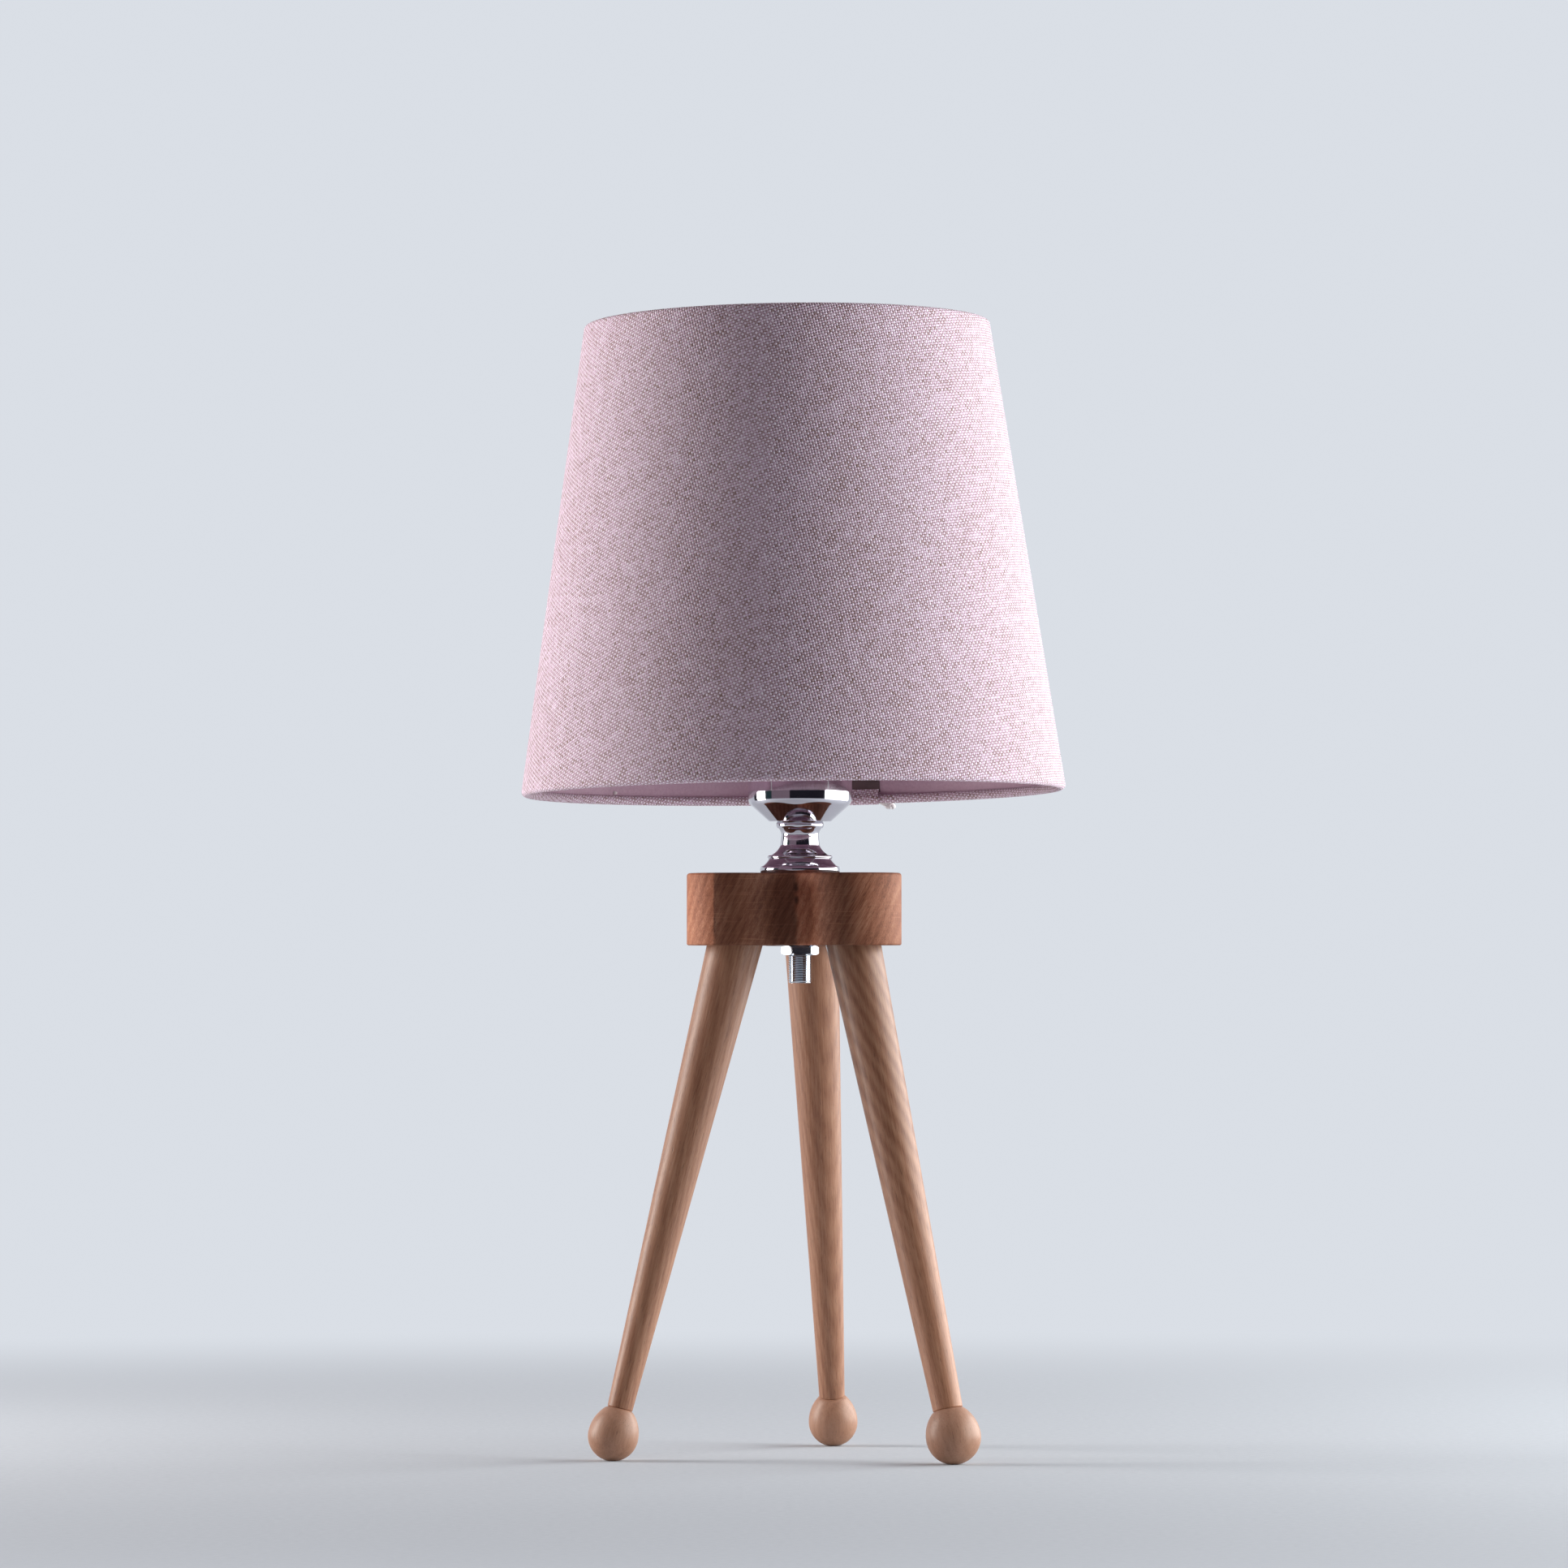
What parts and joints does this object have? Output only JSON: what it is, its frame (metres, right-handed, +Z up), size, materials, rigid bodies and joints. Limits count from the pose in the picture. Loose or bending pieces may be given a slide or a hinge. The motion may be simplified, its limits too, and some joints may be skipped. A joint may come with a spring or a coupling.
{
  "type": "tripod table lamp",
  "caption": "Table lamp: three splayed turned wooden legs on egg-shaped feet, a lobed hub, a chrome neck and cup, a screw-in bulb and a tapered linen shade.",
  "frame": {"origin": "on the floor under the threaded stem, at the middle of the part's bottom", "axes": "+Z up along the stem, +X to the right and -Y to the front, with one leg to the back"},
  "size_m": [0.2343, 0.2343, 0.4909],
  "materials": {
    "leg_wood": "satin lacquered light-brown turned wood",
    "foot_wood": "satin lacquered light-brown turned wood",
    "hub_wood": "satin lacquered reddish-brown wood with dark streaks",
    "dowel_wood": "plain beech",
    "chrome": "mirror polished",
    "zinc": "bright zinc plated",
    "holder_plastic": "white moulded thermoplastic",
    "brass": "bright",
    "frame_white": "white epoxy coat",
    "linen": "slubby natural linen weave",
    "lining": "smooth pale lining",
    "hem_linen": "rolled linen edge",
    "bulb_white": "white",
    "bulb_opal": "opal white",
    "bulb_black": "black glass",
    "board_green": "circuit board"
  },
  "bodies": {
    "stand": {"hub": "hub_wood", "leg_right": "leg_wood", "leg_left": "leg_wood", "leg_back": "leg_wood", "foot_right": "foot_wood", "foot_left": "foot_wood", "foot_back": "foot_wood", "foot_dowels": "dowel_wood", "stem": "zinc", "bottom_nut": "zinc", "bottom_washer": "zinc", "neck": "chrome", "cup": "chrome", "lock_washer": "zinc", "lock_nut": "zinc", "holder_base": "holder_plastic", "grub_screw": "zinc", "holder_core": "holder_plastic", "holder_terminals": "brass", "terminal_screws": "zinc", "centre_contact": "brass", "screw_shell": "brass", "holder_sleeve": "holder_plastic"},
    "collar": {"collar": "holder_plastic"},
    "shade": {"fitter_ring": "frame_white", "fitter_arms": "frame_white", "bottom_wire": "frame_white", "top_wire": "frame_white", "bottom_hem": "hem_linen", "top_hem": "hem_linen", "cover": "linen", "lining": "lining", "seam": "linen"},
    "bulb_base": {"bulb_button": "zinc", "bulb_insulator": "bulb_black"},
    "bulb": {"bulb_cap": "zinc", "bulb_driver": "board_green", "bulb_housing": "bulb_white", "bulb_board": "bulb_white", "bulb_globe": "bulb_opal"}
  },
  "joints": [
    {"name": "shade_lift", "type": "slide", "parent": "stand", "child": "collar", "axis": [0, 0, 1], "range_m": [0, 0.145]},
    {"name": "shade_turn", "type": "hinge", "parent": "collar", "child": "shade", "pos_m": [0, 0, 0.3364], "axis": [0, 0, 1], "continuous": true},
    {"name": "bulb_rise", "type": "slide", "parent": "stand", "child": "bulb_base", "axis": [0, 0, 1], "range_m": [0, 0.01825]},
    {"name": "bulb_turn", "type": "hinge", "parent": "bulb_base", "child": "bulb", "pos_m": [0, 0, 0.352], "axis": [0, 0, 1], "range_deg": [0, 1800]}
  ],
  "couplings": [
    {"joint": "bulb_rise", "follows": "bulb_turn", "m_per_rad": 0.00057757}
  ]
}
